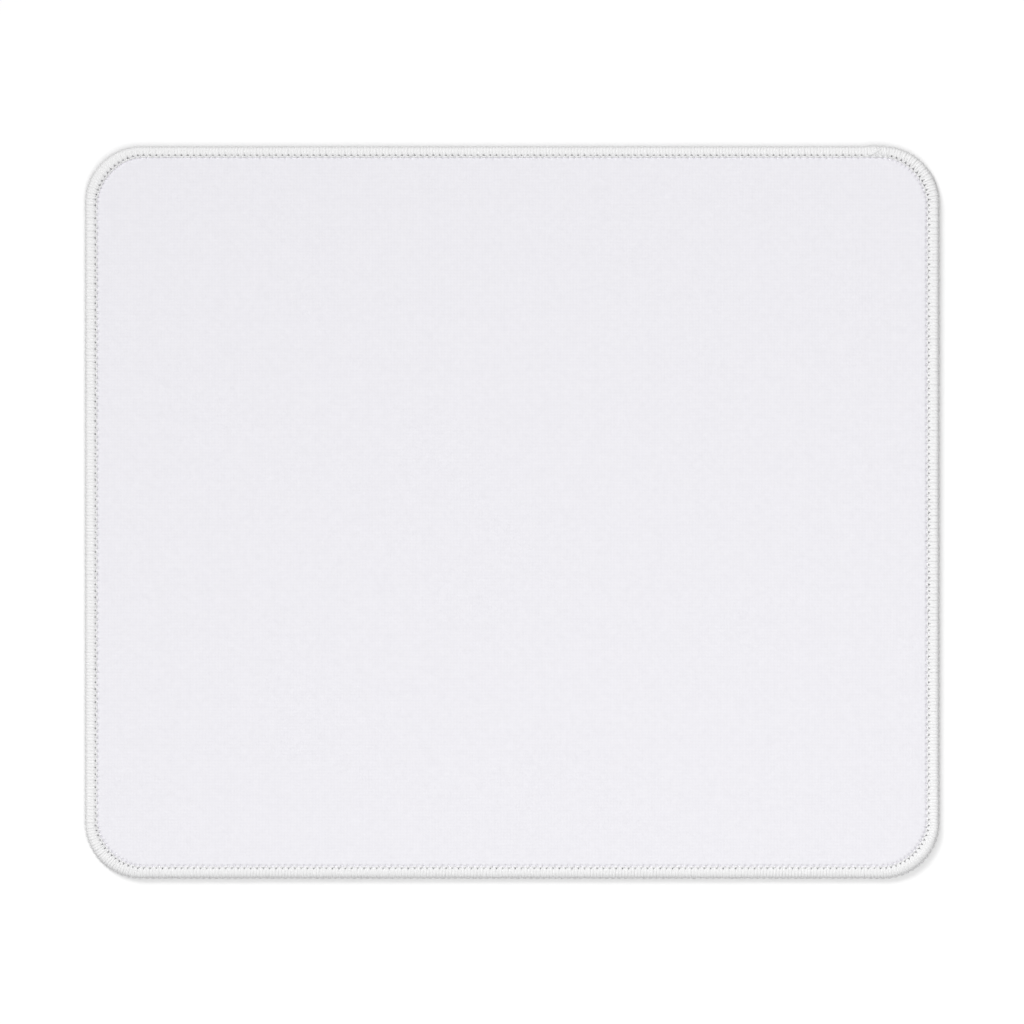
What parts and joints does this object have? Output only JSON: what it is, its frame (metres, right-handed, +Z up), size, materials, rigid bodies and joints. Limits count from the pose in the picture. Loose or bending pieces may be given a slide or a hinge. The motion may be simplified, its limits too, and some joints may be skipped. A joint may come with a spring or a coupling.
{
  "type": "mouse pad",
  "caption": "Rectangular cloth mouse pad with rounded corners: white fabric bonded to a rubber foam base that grips the desk, with an overlocked sewn edge.",
  "frame": {"origin": "centre of the underside, on the desk plane", "axes": "+X along the long side to the right, +Y along the short side away from the user, +Z up out of the cloth face"},
  "size_m": [0.21, 0.18, 0.0033],
  "materials": {
    "base_rubber": "matte black foamed rubber with a fine moulded grip pattern underneath",
    "hot_melt_film": "thin milky adhesive film",
    "top_cloth": "white close-woven polyester with a faint cool tint, matte",
    "edge_thread": "white bulked polyester sewing thread, soft sheen"
  },
  "bodies": {
    "root": {"rubber_base": "base_rubber", "bond_film": "hot_melt_film", "cloth_top": "top_cloth", "lower_looper_thread": "edge_thread", "upper_looper_thread": "edge_thread", "needle_thread": "edge_thread"}
  },
  "joints": []
}
